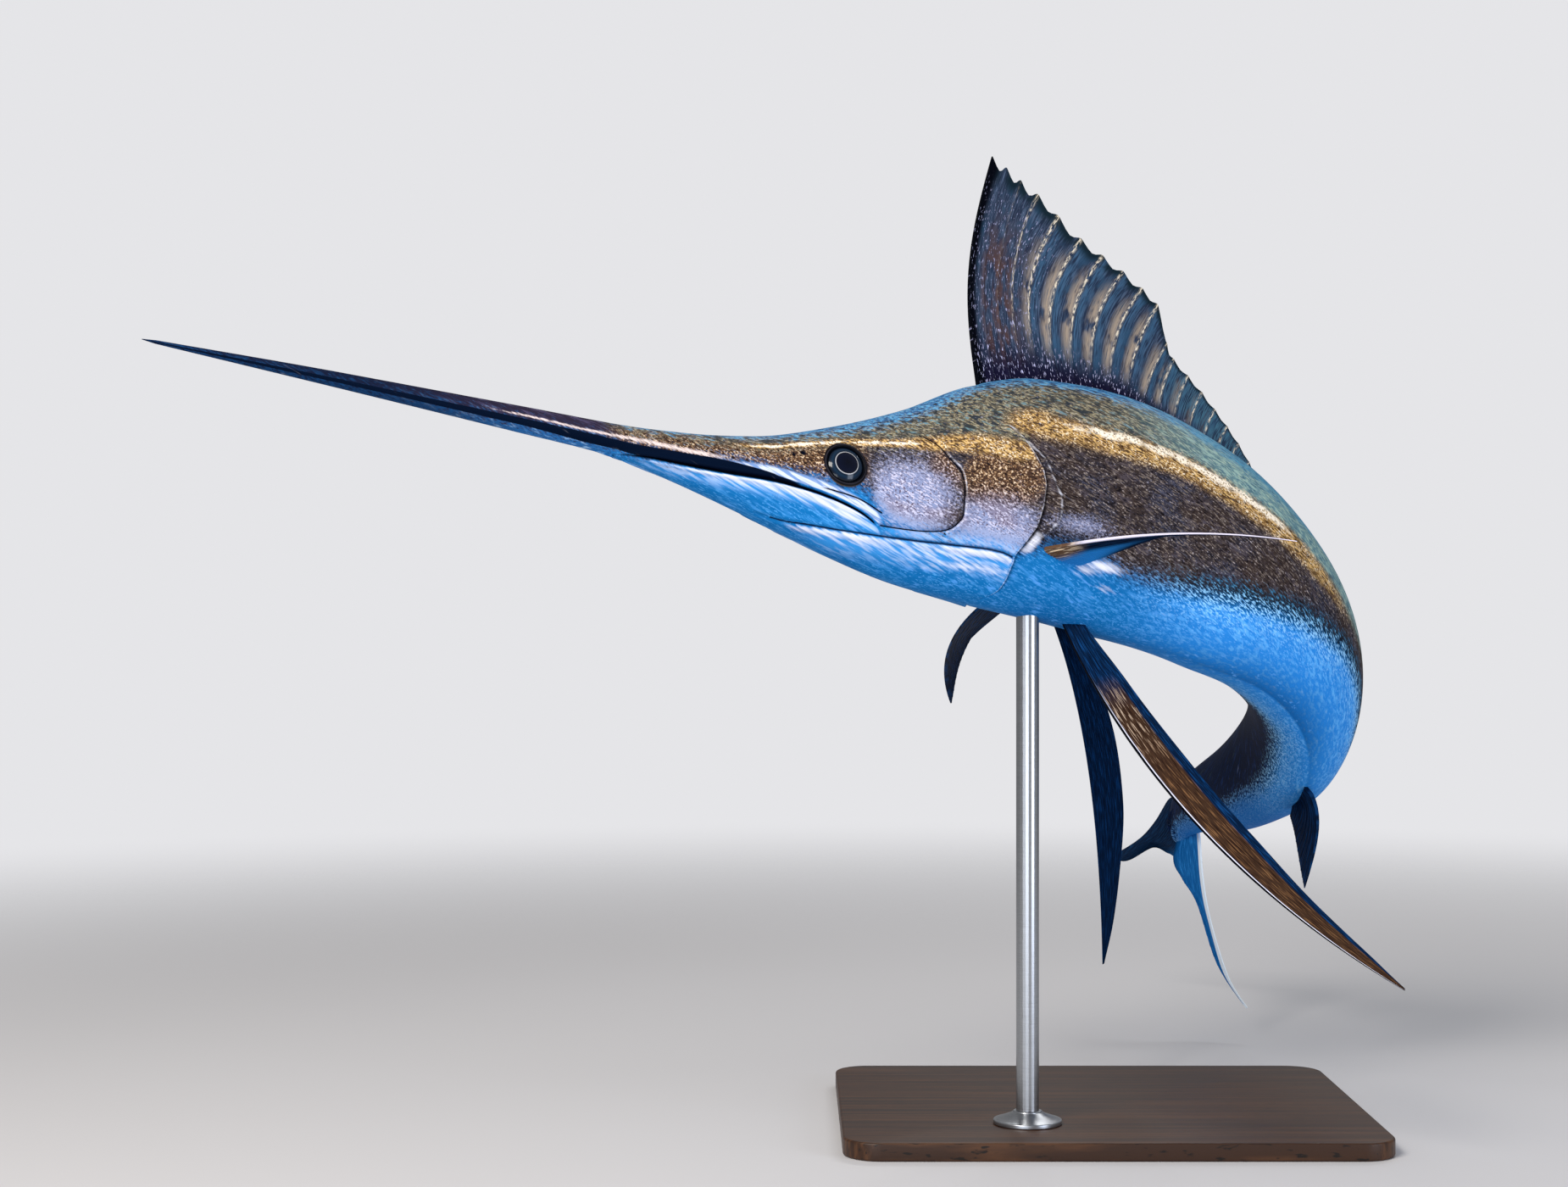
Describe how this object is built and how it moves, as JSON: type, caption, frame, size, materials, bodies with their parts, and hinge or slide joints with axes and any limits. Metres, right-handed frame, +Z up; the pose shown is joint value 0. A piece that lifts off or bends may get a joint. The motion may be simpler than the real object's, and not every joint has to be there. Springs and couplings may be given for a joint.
{
  "type": "marlin display model",
  "caption": "Life-size still model of a leaping marlin, a long-billed sea fish with a high back fin and a bent tail, held by one rod on a flat base.",
  "frame": {"origin": "middle of the underside of the stand's base plate", "axes": "+Z up. The bill points to -X and partly to -Y, the fish's left side faces -Y, and the tail swings away to +Y. The picture looks along +Y."},
  "size_m": [1.4464, 1.6518, 1.2293],
  "materials": {
    "bronze_skin": "glossy wet skin, brown and gold over bronze",
    "blue_skin": "glossy wet skin, bright blue over the belly",
    "silver_skin": "glossy, silver and lilac",
    "navy_fin": "satin membrane with raised rays",
    "blue_fin": "satin membrane with raised rays",
    "eye": "high gloss",
    "stand_wood": "dark stain, satin varnish",
    "stand_steel": "brushed"
  },
  "bodies": {
    "root": {"bill": "bronze_skin", "head": "bronze_skin", "lower_jaw": "blue_skin", "gill_cover_left": "silver_skin", "gill_cover_right": "silver_skin", "eye_left": "eye", "eye_right": "eye", "trunk_front": "bronze_skin", "trunk_middle": "bronze_skin", "trunk_rear": "blue_skin", "tail_stalk": "blue_skin", "dorsal_fin": "navy_fin", "second_dorsal_fin": "navy_fin", "anal_fin": "navy_fin", "second_anal_fin": "navy_fin", "pectoral_fin_left": "navy_fin", "pectoral_fin_right": "navy_fin", "pelvic_fin_left": "navy_fin", "pelvic_fin_right": "navy_fin", "tail_fin_upper": "blue_fin", "tail_fin_lower": "blue_fin", "stand_base": "stand_wood", "stand_foot": "stand_steel", "stand_rod": "stand_steel"}
  },
  "joints": []
}
